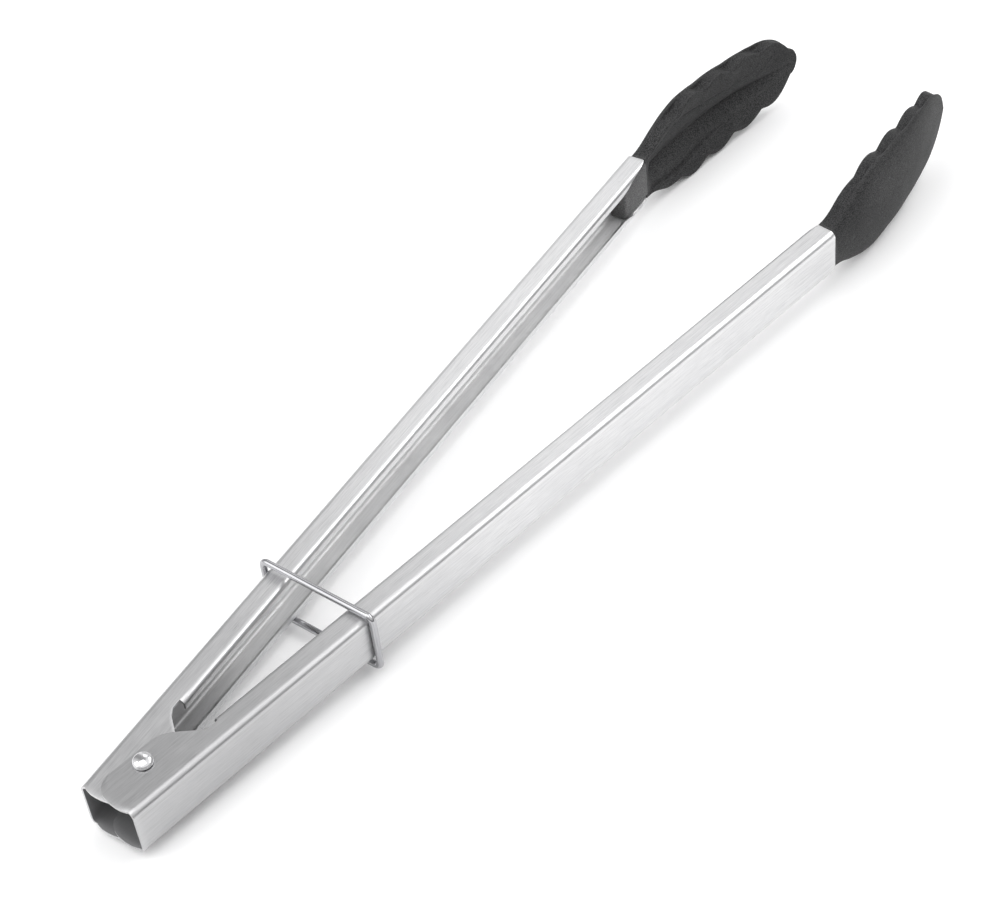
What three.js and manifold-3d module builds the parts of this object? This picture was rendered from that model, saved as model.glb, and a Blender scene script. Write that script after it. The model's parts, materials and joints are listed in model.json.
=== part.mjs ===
// Spring loaded kitchen tongs with silicone heads and a sliding lock ring, lying open on a table.
// Millimetres, +Z up. Each piece is made in the tongs' own frame: the rivet's axis is Z, the arms'
// mid height is z = 0, and +X runs from the rivet to the heads. The group is then laid on the table.
import * as THREE from "three";
import { ParametricGeometry } from "three/addons/geometries/ParametricGeometry.js";
import { mergeVertices } from "three/addons/utils/BufferGeometryUtils.js";
import Module from "manifold-3d";

const wasm = await Module();
wasm.setup();

// ---------------------------------------------------------------- driving dimensions

const CLEAR = 0.3; // gap between two pieces that touch
const PAST = 1; // how far a cut or a joined end reaches past the surface it meets
const OPEN_ANGLE = 5.97; // degrees from the centre line to each arm, held open by the ring

// Arms: two equal pressings in sheet steel, each a channel with its web outward
const SHEET = 0.8;
const ARM_HEIGHT = 18; // across the channel, from flange to flange
const ARM_DEPTH = 9; // from the web's outer face to the lip's inner face
const LIP = 3.3; // from the flange's outer face to the lip's edge
const WEB_BEND = 2.3; // outer radius of the bend between web and flange
const LIP_BEND = 1.8; // outer radius of the bend between flange and lip
const ARM_AHEAD = 307.5; // from the rivet to the channel's end at the head
const ARM_BEHIND = 14.6; // from the rivet to the channel's end behind it
const WEB_TO_AXIS = 12.5; // from the web's outer face to the rivet's axis
const FLANGE_CORNER = 2.2; // rounding of the flange's corner at the head

// Ears: the flanges' wide ends round the rivet
const EAR_BEYOND_AXIS = 4.5; // how far an ear reaches past the rivet's axis
const EAR_BULGE = 1.3; // how far an ear stands out behind the channel's end
const EAR_FLAT_TO = 7; // where the ear's inner edge starts to slope back to the flange
const EAR_END = 21; // where the slope ends
const EAR_CORNER = 6; // rounding of the ear's far corner
const LIP_START = 24.4; // where the lips begin, past the relief notch
const LIP_CUT_BACK = 19; // length of the curved cut that lowers the lips at the head

// Rivet and its spacer bush
const RIVET_SHANK_R = 2;
const RIVET_HEAD_R = 3.3;
const RIVET_HEAD_RISE = 2;
const CROWN_STEPS = 6; // from the head's edge to its top
const BUSH_R = 3.2;

// Torsion spring round the bush
const SPRING_WIRE = 1.4;
const SPRING_COILS = 4;
const COIL_STEPS = 16; // points on each turn
const SPRING_LEG = 24; // how far along an arm each leg reaches

// Lock ring, one rectangular loop of wire
const RING_WIRE = 2.3;
const RING_STATION = 78.4; // from the rivet's axis along the arms
const RING_CORNER = 2.2; // bend radius on the wire's centre line
const RING_PLAY = 0.55; // free height over the arms, above and below
const RING_STEPS = 120; // along the wire
const RING_SIDES = 10; // round the wire

// Silicone heads
const HEAD_LENGTH = 89.3; // beyond the channel's end
const HEAD_HALF_WIDTH = 17; // at the widest place, between scallop tops and notches
const HEAD_WIDEST_AT = 28; // from the head's start
const HEAD_TIP_HALF_WIDTH = 15; // where the round tip starts
const TIP_ROUND = 24.6; // length of the round tip
const RIM_AT_NECK = 7.8; // rim over the web's outer plane where the head meets the arm
const RIM_AT_TIP = 24.3; // rim over the web's outer plane at the tip
const RIM_SAG = 2.55; // how far the rim hangs below a straight line from neck to tip
const RIM_BAND = 4.7; // height of the scalloped band along the rim
const BAND_SHARE = 0.9; // the most of the head's depth that the band takes
const HEAD_DEPTH = 8.7; // from the rim to the back
const DEPTH_REACHED = 20; // where the head has that depth, from its start
const THIN_FROM = 42; // where it starts to thin towards the tip
const TIP_DEPTH = 5.2; // from the rim to the back at the tip
const BOWL_REACHED = 32; // where the bowl has its whole depth, from the head's start
const BOWL_TIP = 12; // length over which the bowl runs out at the tip
const BOWL_LEAN = 0.1; // how far the bowl's sides lean in, as a share of its half width
const HEAD_WALL = 3.2;
const FIRST_NOTCH = 22.8; // from the head's start
const SCALLOP_PITCH = 15.8; // from notch to notch
const SCALLOP_DEPTH = 2.2; // from a scallop's top to a notch
const SCALLOP_MEAN = 0.6; // share of that depth that lies inside the plain outline
const SCALLOP_END = 4; // length over which the scallops run out at the tip
const FULLNESS = 0.85; // below 1 the back and the bowl are fuller than an ellipse
const NECK_PLUG = 15.5; // how far the neck reaches into the channel
const HEAD_STATIONS = 50;
const LAST_STATION = 0.9995; // share of the length where the last section stands
const STATION_CROWDING = 0.25; // how much closer the sections stand towards the tip
const SECTION_STEPS = 12; // along the back, and again along the bowl

// Stiff core inside each head
const CORE_THICK = 1.2;
const CORE_IN_ARM = 34; // how far its tongue reaches back into the channel
const CORE_IN_HEAD = 16; // how far its blade reaches into the head
const CORE_HALF_WIDTH = 4.5;

// ---------------------------------------------------------------- derived sizes

const EAR_LIFT = (SHEET + CLEAR) / 2; // each arm stands this far off mid height, so that the ears lap
const STACK_TOP = ARM_HEIGHT / 2 + EAR_LIFT; // outer face of the lapped ears
const STACK_INSIDE = ARM_HEIGHT / 2 - EAR_LIFT - SHEET; // inner face of the lapped ears
const FLANGE_EDGE = ARM_DEPTH - LIP_BEND; // the flange's width where it has no lip
const EAR_EDGE = WEB_TO_AXIS + EAR_BEYOND_AXIS;
const INSIDE = SHEET + CLEAR; // how far what fills the channel stays from its outer faces
const CORE_FAR = INSIDE + CORE_THICK; // the core's inner face, over the web's outer plane
const HEAD_START = ARM_AHEAD + CLEAR;
const OPEN = THREE.MathUtils.degToRad(OPEN_ANGLE);

// ---------------------------------------------------------------- materials

function steel(name, color, roughness) {
  return new THREE.MeshStandardMaterial({ name, color, roughness, metalness: 1 });
}

const brushedSteel = () => steel("brushed_steel", 0xc4c4c6, 0.36);
const polishedSteel = () => steel("polished_steel", 0xd0d0d2, 0.14);
const springSteel = () => steel("spring_steel", 0x9c9ca0, 0.3);
const coreSteel = () => steel("core_steel", 0xa8a8aa, 0.45);

function silicone() {
  return new THREE.MeshStandardMaterial({
    name: "silicone",
    color: 0x2b2b2d,
    roughness: 0.72,
    metalness: 0,
  });
}

// ---------------------------------------------------------------- helpers

// A closed geometry as a solid that can be joined and cut.
function solid(geometry) {
  const flat = geometry.index ? geometry.toNonIndexed() : geometry;
  const bare = new THREE.BufferGeometry();
  bare.setAttribute("position", flat.getAttribute("position"));
  const merged = mergeVertices(bare, 1e-4);
  const index = merged.index.array;
  const triVerts = [];
  for (let i = 0; i < index.length; i += 3) {
    const [a, b, c] = index.slice(i, i + 3);
    if (a !== b && b !== c && c !== a) triVerts.push(a, b, c);
  }
  return new wasm.Manifold(
    new wasm.Mesh({
      numProp: 3,
      vertProperties: merged.attributes.position.array,
      triVerts: new Uint32Array(triVerts),
    }),
  );
}

function piece(name, shape, material) {
  const mesh = shape.getMesh();
  const geometry = new THREE.BufferGeometry();
  geometry.setAttribute("position", new THREE.BufferAttribute(mesh.vertProperties, 3));
  geometry.setIndex(new THREE.BufferAttribute(mesh.triVerts, 1));
  geometry.computeVertexNormals();
  const result = new THREE.Mesh(geometry, material);
  result.name = name;
  return result;
}

function box(x0, x1, y0, y1, z0, z1) {
  const geometry = new THREE.BoxGeometry(x1 - x0, y1 - y0, z1 - z0);
  return solid(geometry.translate((x0 + x1) / 2, (y0 + y1) / 2, (z0 + z1) / 2));
}

function post(radius, z0, z1) {
  const geometry = new THREE.CylinderGeometry(radius, radius, z1 - z0, 32);
  geometry.rotateX(Math.PI / 2);
  return solid(geometry.translate(0, 0, (z0 + z1) / 2));
}

// An outline drawn in the plane of two axes, extruded from one value to another along the third.
function extrude(shape, along, from, to, curveSegments = 3) {
  const geometry = new THREE.ExtrudeGeometry(shape, {
    depth: to - from,
    bevelEnabled: false,
    curveSegments,
  });
  geometry.translate(0, 0, from);
  const bases = {
    x: [new THREE.Vector3(0, 1, 0), new THREE.Vector3(0, 0, 1), new THREE.Vector3(1, 0, 0)],
    y: [new THREE.Vector3(1, 0, 0), new THREE.Vector3(0, 0, 1), new THREE.Vector3(0, -1, 0)],
    z: [new THREE.Vector3(1, 0, 0), new THREE.Vector3(0, 1, 0), new THREE.Vector3(0, 0, 1)],
  };
  return solid(geometry.applyMatrix4(new THREE.Matrix4().makeBasis(...bases[along])));
}

const { lerp, clamp } = THREE.MathUtils;
const smooth = (t) => THREE.MathUtils.smoothstep(t, 0, 1);

// ---------------------------------------------------------------- arm

// Everything that belongs to one arm is drawn with the rivet's axis at the origin, the arm along +X
// and its web's outer face at y = -WEB_TO_AXIS. across() turns a distance from that face into y.
const across = (distance) => distance - WEB_TO_AXIS;

// The channel's section: web, two flanges and two inward lips, all of one sheet.
function channelSection() {
  const half = ARM_HEIGHT / 2;
  const inner = ARM_DEPTH - SHEET;
  const s = new THREE.Shape();
  const quarter = Math.PI / 2;
  const bend = (u, z, r, from, clockwise) =>
    s.absarc(across(u), z, r, from, from + (clockwise ? -quarter : quarter), clockwise);
  s.moveTo(across(ARM_DEPTH), -half + LIP);
  bend(FLANGE_EDGE, -half + LIP_BEND, LIP_BEND, 0, true);
  bend(WEB_BEND, -half + WEB_BEND, WEB_BEND, -quarter, true);
  bend(WEB_BEND, half - WEB_BEND, WEB_BEND, Math.PI, true);
  bend(FLANGE_EDGE, half - LIP_BEND, LIP_BEND, quarter, true);
  s.lineTo(across(ARM_DEPTH), half - LIP);
  s.lineTo(across(inner), half - LIP);
  bend(FLANGE_EDGE, half - LIP_BEND, LIP_BEND - SHEET, 0, false);
  bend(WEB_BEND, half - WEB_BEND, WEB_BEND - SHEET, quarter, false);
  bend(WEB_BEND, -half + WEB_BEND, WEB_BEND - SHEET, Math.PI, false);
  bend(FLANGE_EDGE, -half + LIP_BEND, LIP_BEND - SHEET, -quarter, false);
  s.lineTo(across(inner), -half + LIP);
  s.closePath();
  return s;
}

// An ear seen along the rivet's axis: a wide end with a round corner, sloping back to the flange.
function earOutline() {
  const back = -ARM_BEHIND - EAR_BULGE;
  const edge = across(EAR_EDGE);
  const flange = across(FLANGE_EDGE);
  const cornerX = back + EAR_CORNER + EAR_BULGE;
  const cornerY = edge - EAR_CORNER - 2 * EAR_BULGE;
  const slopeX = EAR_FLAT_TO + EAR_CORNER;
  const s = new THREE.Shape();
  s.moveTo(-ARM_BEHIND, across(WEB_BEND));
  s.quadraticCurveTo(back, across(WEB_BEND + EAR_BULGE), back, cornerY);
  s.quadraticCurveTo(back, edge, cornerX, edge);
  s.lineTo(EAR_FLAT_TO, edge);
  s.bezierCurveTo(slopeX, edge, EAR_END - EAR_CORNER / 2, flange, EAR_END, flange);
  s.lineTo(EAR_END, across(WEB_BEND));
  s.closePath();
  return s;
}

// The curved cut that lowers both lips at the head, seen from inside the channel.
function lipCut() {
  const start = ARM_AHEAD - LIP_CUT_BACK;
  const low = ARM_HEIGHT / 2 - LIP;
  const high = ARM_HEIGHT / 2 - SHEET / 2;
  const end = ARM_AHEAD + PAST;
  const steep = start + LIP_CUT_BACK / 4;
  const easy = start + LIP_CUT_BACK / 2;
  const s = new THREE.Shape();
  s.moveTo(start, -low);
  s.bezierCurveTo(steep, -low, steep, -high + LIP / 3, easy, -high + LIP / 4);
  s.lineTo(end, -high);
  s.lineTo(end, high);
  s.lineTo(easy, high - LIP / 4);
  s.bezierCurveTo(steep, high - LIP / 3, steep, low, start, low);
  s.closePath();
  return s;
}

// The waste outside the rounded corner of a flange's end.
function flangeCorner() {
  const u = across(ARM_DEPTH);
  const x = ARM_AHEAD - FLANGE_CORNER;
  const s = new THREE.Shape();
  s.moveTo(x, u + PAST);
  s.lineTo(x, u);
  s.absarc(x, u - FLANGE_CORNER, FLANGE_CORNER, Math.PI / 2, 0, true);
  s.lineTo(ARM_AHEAD + PAST, u - FLANGE_CORNER);
  s.lineTo(ARM_AHEAD + PAST, u + PAST);
  s.closePath();
  return s;
}

function armPressing() {
  const half = ARM_HEIGHT / 2;
  const over = half + PAST;
  const inward = across(ARM_DEPTH) + PAST;
  const lipless = box(-ARM_BEHIND - PAST, LIP_START, across(FLANGE_EDGE), inward, -over, over);
  let arm = extrude(channelSection(), "x", -ARM_BEHIND, ARM_AHEAD).subtract(lipless);
  for (const z of [-half, half - SHEET]) {
    arm = arm.add(extrude(earOutline(), "z", z, z + SHEET, 6));
  }
  arm = arm.subtract(extrude(lipCut(), "y", -inward, -across(FLANGE_EDGE), 6));
  arm = arm.subtract(extrude(flangeCorner(), "z", -over, over, 4));
  return arm.subtract(post(RIVET_SHANK_R + CLEAR, -over, over));
}

// ---------------------------------------------------------------- silicone head

// Where the rim, the ridge behind its band, the back and the bowl's bottom stand over the web's outer
// plane, at a distance from the head's start, and the half width there without scallops.
function headProfile(distance) {
  const t = distance / HEAD_LENGTH;
  const rim = lerp(RIM_AT_NECK, RIM_AT_TIP, t) - RIM_SAG * 4 * t * (1 - t);
  const whole = lerp(RIM_AT_NECK, HEAD_DEPTH, smooth(distance / DEPTH_REACHED));
  const thinning = smooth((distance - THIN_FROM) / (HEAD_LENGTH - THIN_FROM));
  const depth = lerp(whole, TIP_DEPTH, thinning);
  const ridge = rim - Math.min(RIM_BAND, depth * BAND_SHARE);
  const open = smooth(distance / BOWL_REACHED) * smooth((HEAD_LENGTH - distance) / BOWL_TIP);
  const bowl = (depth - HEAD_WALL) * open;
  return { rim, ridge, back: rim - depth, bowl, half: halfWidth(distance) };
}

function halfWidth(distance) {
  const tipStart = HEAD_LENGTH - TIP_ROUND;
  const widening = smooth(distance / HEAD_WIDEST_AT);
  const narrowing = clamp((distance - HEAD_WIDEST_AT) / (tipStart - HEAD_WIDEST_AT), 0, 1) ** 2;
  const plain = lerp(ARM_HEIGHT / 2, HEAD_HALF_WIDTH, widening);
  const tapered = lerp(plain, HEAD_TIP_HALF_WIDTH, narrowing);
  const intoTip = clamp((distance - tipStart) / TIP_ROUND, 0, 1);
  return tapered * Math.sqrt(1 - intoTip ** 2);
}

// How far the rim's outline stands out at a scallop, or in at a notch. The first scallop is long.
function scallop(distance) {
  const first = distance < FIRST_NOTCH;
  const phase = first ? distance / FIRST_NOTCH : (distance - FIRST_NOTCH) / SCALLOP_PITCH;
  const wave = Math.abs(Math.sin(Math.PI * phase)) - SCALLOP_MEAN;
  const start = smooth(distance / SCALLOP_PITCH);
  return SCALLOP_DEPTH * wave * start * smooth((HEAD_LENGTH - distance) / SCALLOP_END);
}

// One section of the head as a closed loop: round the back from one rim to the other, and back
// through the bowl.
function headLoop(distance) {
  const { rim, ridge, back, bowl, half } = headProfile(distance);
  const edge = half + scallop(distance);
  const loop = [];
  for (let i = 0; i <= SECTION_STEPS; i++) {
    const angle = Math.PI * (0.5 - i / SECTION_STEPS);
    const round = Math.cos(angle) ** FULLNESS;
    const wide = Math.sin(angle);
    loop.push([ridge + (back - ridge) * round, wide * lerp(half, edge, wide ** 4)]);
  }
  for (let i = 0; i <= SECTION_STEPS; i++) {
    const angle = Math.PI * (i / SECTION_STEPS - 0.5);
    const lean = 1 - BOWL_LEAN * Math.cos(angle);
    loop.push([rim - bowl * Math.cos(angle) ** FULLNESS, edge * lean * Math.sin(angle)]);
  }
  return loop;
}

// The scoop, closed to a point at the neck's face and at the tip.
function scoop() {
  const sections = [];
  for (let i = 0; i < HEAD_STATIONS; i++) {
    const even = i / (HEAD_STATIONS - 1);
    const t = lerp(even, Math.sin((Math.PI / 2) * even), STATION_CROWDING);
    const distance = HEAD_LENGTH * Math.min(t, LAST_STATION);
    sections.push({ x: HEAD_START + distance, loop: headLoop(distance) });
  }
  const middle = ({ x, loop }) => {
    const u = loop.reduce((sum, point) => sum + point[0], 0) / loop.length;
    return { x, loop: loop.map(() => [u, 0]) };
  };
  const rows = [middle(sections[0]), ...sections, middle(sections.at(-1))];
  const around = sections[0].loop.length;
  const surface = (u, v, target) => {
    const { x, loop } = rows[Math.round(v * (rows.length - 1))];
    const [distance, z] = loop[Math.round(u * around) % around];
    target.set(x, across(distance), z);
  };
  return solid(new ParametricGeometry(surface, around, rows.length - 1));
}

function roundedRectangle(u0, u1, halfHeight, radius) {
  const [y0, y1] = [across(u0), across(u1)];
  const z = halfHeight - radius;
  const s = new THREE.Shape();
  s.absarc(y1 - radius, z, radius, 0, Math.PI / 2, false);
  s.absarc(y0 + radius, z, radius, Math.PI / 2, Math.PI, false);
  s.absarc(y0 + radius, -z, radius, Math.PI, 1.5 * Math.PI, false);
  s.absarc(y1 - radius, -z, radius, 1.5 * Math.PI, 2 * Math.PI, false);
  s.closePath();
  return s;
}

function siliconeHead() {
  const plug = roundedRectangle(INSIDE, ARM_DEPTH - INSIDE, ARM_HEIGHT / 2 - INSIDE, WEB_BEND - SHEET);
  const pocket = box(
    ARM_AHEAD - NECK_PLUG - PAST,
    HEAD_START + CORE_IN_HEAD + CLEAR,
    across(INSIDE - CLEAR),
    across(CORE_FAR + CLEAR),
    -CORE_HALF_WIDTH - CLEAR,
    CORE_HALF_WIDTH + CLEAR,
  );
  return scoop()
    .add(extrude(plug, "x", ARM_AHEAD - NECK_PLUG, HEAD_START + PAST))
    .subtract(pocket);
}

function headCore() {
  return box(
    ARM_AHEAD - CORE_IN_ARM,
    HEAD_START + CORE_IN_HEAD,
    across(INSIDE),
    across(CORE_FAR),
    -CORE_HALF_WIDTH,
    CORE_HALF_WIDTH,
  );
}

// ---------------------------------------------------------------- pivot

function pivotRivet() {
  const seat = STACK_TOP + CLEAR;
  const crown = [];
  for (let i = 0; i < CROWN_STEPS; i++) {
    const angle = (Math.PI / 2) * (i / CROWN_STEPS);
    crown.push([RIVET_HEAD_R * Math.cos(angle), seat + RIVET_HEAD_RISE * Math.sin(angle)]);
  }
  crown.push([0, seat + RIVET_HEAD_RISE]);
  const upper = [[RIVET_SHANK_R, seat], ...crown];
  const lower = upper.map(([r, z]) => [r, -z]).reverse();
  const profile = [...lower, ...upper].map(([r, z]) => new THREE.Vector2(r, z));
  return solid(new THREE.LatheGeometry(profile, 32).rotateX(Math.PI / 2));
}

function pivotBush() {
  const end = STACK_INSIDE - CLEAR;
  return post(BUSH_R, -end, end).subtract(post(RIVET_SHANK_R + CLEAR, -end - PAST, end + PAST));
}

// A close coil round the bush whose two legs lean on the webs.
function torsionSpring() {
  const coilR = BUSH_R + 2 * CLEAR + SPRING_WIRE / 2;
  const pitch = SPRING_WIRE + CLEAR / 2;
  const web = WEB_TO_AXIS - SHEET - CLEAR - SPRING_WIRE / 2;
  const legX = SPRING_LEG * Math.cos(OPEN) - web * Math.sin(OPEN);
  const legY = SPRING_LEG * Math.sin(OPEN) + web * Math.cos(OPEN);
  const toEnd = Math.atan2(legY, legX);
  const leave = toEnd + Math.acos(coilR / Math.hypot(legX, legY)); // where a leg leaves the coil
  const turn = 2 * Math.PI * SPRING_COILS + 2 * (leave - Math.PI);
  const rise = (pitch * turn) / (2 * Math.PI);
  const onCoil = (angle, z) => {
    return new THREE.Vector3(coilR * Math.cos(angle), coilR * Math.sin(angle), z);
  };
  const leg = (side, z) => {
    const root = onCoil(side * leave, z);
    const end = new THREE.Vector3(legX, side * legY, z);
    return [end, end.clone().lerp(root, 1 / 3), end.clone().lerp(root, 2 / 3)];
  };
  const points = leg(-1, -rise / 2);
  const steps = SPRING_COILS * COIL_STEPS;
  for (let i = 0; i <= steps; i++) {
    points.push(onCoil(-leave - (turn * i) / steps, rise * (i / steps - 0.5)));
  }
  points.push(...leg(1, rise / 2).reverse());
  const wire = new THREE.Shape().absarc(0, 0, SPRING_WIRE / 2, 0, 2 * Math.PI, false);
  const path = new THREE.CatmullRomCurve3(points);
  const options = { extrudePath: path, steps: points.length * 2, curveSegments: 4 };
  return solid(new THREE.ExtrudeGeometry(wire, options));
}

// ---------------------------------------------------------------- lock ring

const RING_X = RING_STATION * Math.cos(OPEN);
const RING_HALF_HEIGHT = STACK_TOP + RING_PLAY + RING_WIRE / 2; // on the wire's centre line
const RING_HALF_WIDTH =
  (WEB_TO_AXIS + CLEAR + RING_WIRE / 2) / Math.cos(OPEN) + RING_X * Math.tan(OPEN);

// The ring's centre line: four straight runs and four bends in the plane across the tongs.
class RingPath extends THREE.Curve {
  constructor() {
    super();
    const [y, z, r] = [RING_HALF_WIDTH - RING_CORNER, RING_HALF_HEIGHT - RING_CORNER, RING_CORNER];
    const outline = new THREE.Path();
    outline.moveTo(y + r, 0);
    outline.absarc(y, z, r, 0, Math.PI / 2, false);
    outline.absarc(-y, z, r, Math.PI / 2, Math.PI, false);
    outline.absarc(-y, -z, r, Math.PI, 1.5 * Math.PI, false);
    outline.absarc(y, -z, r, 1.5 * Math.PI, 2 * Math.PI, false);
    outline.lineTo(y + r, 0);
    this.outline = outline;
  }

  getPoint(t, target = new THREE.Vector3()) {
    const { x, y } = this.outline.getPointAt(t % 1);
    return target.set(RING_X, x, y);
  }
}

function lockRing() {
  return solid(new THREE.TubeGeometry(new RingPath(), RING_STEPS, RING_WIRE / 2, RING_SIDES, true));
}

// ---------------------------------------------------------------- assembly

// One arm with its head and core, swung open to its side. The left one is the same, turned over.
function arm(side, name) {
  const parts = new THREE.Group();
  parts.add(piece(name + "_arm", armPressing(), brushedSteel()));
  parts.add(piece(name + "_head", siliconeHead(), silicone()));
  parts.add(piece(name + "_head_core", headCore(), coreSteel()));
  if (side > 0) parts.rotation.x = Math.PI;
  const swung = new THREE.Group();
  swung.add(parts);
  swung.rotation.z = side * OPEN;
  swung.position.z = -side * EAR_LIFT;
  return swung;
}

const tongs = new THREE.Group();
tongs.add(arm(-1, "right"));
tongs.add(arm(1, "left"));
tongs.add(piece("pivot_rivet", pivotRivet(), polishedSteel()));
tongs.add(piece("pivot_bush", pivotBush(), brushedSteel()));
tongs.add(piece("torsion_spring", torsionSpring(), springSteel()));
tongs.add(piece("lock_ring", lockRing(), polishedSteel()));

// The tongs lie on the widest part of the heads and, at the other end, on the ring or the rivet,
// whichever the wide heads let down first.
const headFoot = {
  x: (HEAD_START + HEAD_WIDEST_AT) * Math.cos(OPEN),
  down: HEAD_HALF_WIDTH + EAR_LIFT,
};
const nearFeet = [
  { x: RING_X, down: RING_HALF_HEIGHT + RING_WIRE / 2 },
  { x: 0, down: STACK_TOP + CLEAR + RIVET_HEAD_RISE },
];
const slopes = nearFeet.map(({ x, down }) => (headFoot.down - down) / (headFoot.x - x));
tongs.rotation.y = -Math.atan(Math.min(...slopes));

// The origin is under the middle of the whole, on the table.
const lying = new THREE.Group();
lying.add(tongs);
lying.updateMatrixWorld(true);
const bounds = new THREE.Box3().setFromObject(lying, true);
const middle = bounds.getCenter(new THREE.Vector3());
tongs.position.set(-middle.x, -middle.y, -bounds.min.z);

export default lying;
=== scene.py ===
import json
import math

import bmesh
import bpy
from mathutils import Matrix, Vector


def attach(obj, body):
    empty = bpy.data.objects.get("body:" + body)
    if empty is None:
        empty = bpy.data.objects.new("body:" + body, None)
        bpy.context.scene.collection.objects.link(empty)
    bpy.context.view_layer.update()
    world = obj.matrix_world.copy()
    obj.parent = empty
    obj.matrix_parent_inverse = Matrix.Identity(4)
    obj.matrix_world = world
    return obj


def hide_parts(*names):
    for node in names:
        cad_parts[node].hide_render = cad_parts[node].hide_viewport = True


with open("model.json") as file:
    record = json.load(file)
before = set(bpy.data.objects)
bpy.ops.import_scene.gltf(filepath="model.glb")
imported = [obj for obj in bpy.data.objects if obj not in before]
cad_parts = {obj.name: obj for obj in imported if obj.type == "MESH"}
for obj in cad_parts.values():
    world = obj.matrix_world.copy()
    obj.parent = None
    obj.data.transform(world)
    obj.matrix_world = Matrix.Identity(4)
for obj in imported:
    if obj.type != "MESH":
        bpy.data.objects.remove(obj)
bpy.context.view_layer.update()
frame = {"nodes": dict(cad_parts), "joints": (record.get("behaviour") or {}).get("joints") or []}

# ------------------------------------------------------------------ sizes, in millimetres
# The same named sizes as the CAD model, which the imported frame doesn't carry. Only the scallops
# differ: their notches are cut deeper here, with the same crests.

CLEAR = 0.3
OPEN = math.radians(5.97)
SHEET = 0.8
ARM_HEIGHT = 18.0
ARM_DEPTH = 9.0
LIP = 3.3
WEB_BEND = 2.3
LIP_BEND = 1.8
ARM_AHEAD = 307.5
ARM_BEHIND = 14.6
WEB_TO_AXIS = 12.5
FLANGE_CORNER = 2.2
EAR_EDGE = 17.0
EAR_BULGE = 1.3
EAR_FLAT_TO = 7.0
EAR_END = 21.0
EAR_CORNER = 6.0
LIP_START = 24.4
LIP_CUT_BACK = 19.0
EAR_LIFT = (SHEET + CLEAR) / 2

RIVET_SHANK_R = 2.0
RIVET_HEAD_R = 3.3
RIVET_HEAD_RISE = 2.0
BUSH_R = 3.2
SPRING_WIRE = 1.4
SPRING_COILS = 4
SPRING_LEG = 24.0
RING_WIRE = 2.3
RING_STATION = 78.4
RING_CORNER = 2.2
RING_PLAY = 0.55

HEAD_START = ARM_AHEAD + CLEAR
HEAD_LENGTH = 89.3
HEAD_HALF_WIDTH = 17.0
HEAD_WIDEST_AT = 28.0
HEAD_TIP_HALF_WIDTH = 15.0
TIP_ROUND = 24.6
RIM_AT_NECK = 7.8
RIM_AT_TIP = 24.3
RIM_SAG = 2.55
RIM_BAND = 4.7
BAND_SHARE = 0.9
HEAD_DEPTH = 8.7
DEPTH_REACHED = 20.0
THIN_FROM = 42.0
TIP_DEPTH = 5.2
FIRST_NOTCH = 22.8
SCALLOP_PITCH = 15.8
SCALLOP_DEPTH = 2.8
SCALLOP_MEAN = 0.686
SCALLOP_END = 4.0
FULLNESS = 0.85
NECK_PLUG = 15.5

# ------------------------------------------------------------------ frames

hinge = next(j for j in frame["joints"] if j["name"] == "left_hinge")
AXIS = -Vector(hinge["axis"])
TILT = math.asin(-AXIS.x)
TONGS = Matrix.Translation(Vector(hinge["pos_m"])) @ Matrix.Rotation(-TILT, 4, "Y")


def arm_frame(side):
    """From the arm's own frame (along, across, up, in metres) to the model's frame."""
    lift = Matrix.Translation((0, 0, -side * EAR_LIFT / 1000))
    swing = Matrix.Rotation(side * OPEN, 4, "Z")
    turn = Matrix.Rotation(math.pi if side > 0 else 0.0, 4, "X")
    return TONGS @ lift @ swing @ turn


def clamp(v, lo=0.0, hi=1.0):
    return max(lo, min(hi, v))


def lerp(a, b, t):
    return a + (b - a) * t


def smooth(t):
    t = clamp(t)
    return t * t * (3 - 2 * t)


# ------------------------------------------------------------------ mesh helpers


def finish_object(name, mesh, material, body, matrix):
    mesh.transform(matrix)
    mesh.update()
    obj = bpy.data.objects.new(name, mesh)
    bpy.context.scene.collection.objects.link(obj)
    mesh.materials.append(material)
    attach(obj, body)
    return obj


def shade_smooth(mesh, angle):
    for p in mesh.polygons:
        p.use_smooth = True
    mesh.set_sharp_from_angle(angle=math.radians(angle))


def apply_modifiers(obj):
    deps = bpy.context.evaluated_depsgraph_get()
    mesh = bpy.data.meshes.new_from_object(obj.evaluated_get(deps), depsgraph=deps)
    old = obj.data
    obj.modifiers.clear()
    obj.data = mesh
    bpy.data.meshes.remove(old)


def grid_mesh(name, rows, closed_rows=False, cap=False, uvs=None):
    """A mesh from rows of points in millimetres; closed_rows joins each row's ends."""
    bm = bmesh.new()
    verts = [[bm.verts.new([c / 1000 for c in p]) for p in row] for row in rows]
    layer = bm.loops.layers.uv.new("UVMap")
    count = len(rows[0])
    last = count if closed_rows else count - 1
    for i in range(len(rows) - 1):
        for j in range(last):
            k = (j + 1) % count
            ids = [(i, j), (i, j + 1), (i + 1, j + 1), (i + 1, j)]
            try:
                face = bm.faces.new([verts[i][j], verts[i][k], verts[i + 1][k], verts[i + 1][j]])
            except ValueError:
                continue
            for loop, (a, b) in zip(face.loops, ids):
                loop[layer].uv = uvs(a, b) if uvs else (a / len(rows), b / count)
    if cap:
        bm.faces.new(list(reversed(verts[0])))
        bm.faces.new(verts[-1])
    bmesh.ops.recalc_face_normals(bm, faces=bm.faces)
    mesh = bpy.data.meshes.new(name)
    bm.to_mesh(mesh)
    bm.free()
    return mesh


def weld(mesh):
    """Joins the first and the last row of a mesh that closes on itself."""
    bm = bmesh.new()
    bm.from_mesh(mesh)
    bmesh.ops.remove_doubles(bm, verts=bm.verts, dist=1e-7)
    bmesh.ops.recalc_face_normals(bm, faces=bm.faces)
    bm.to_mesh(mesh)
    bm.free()


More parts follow.
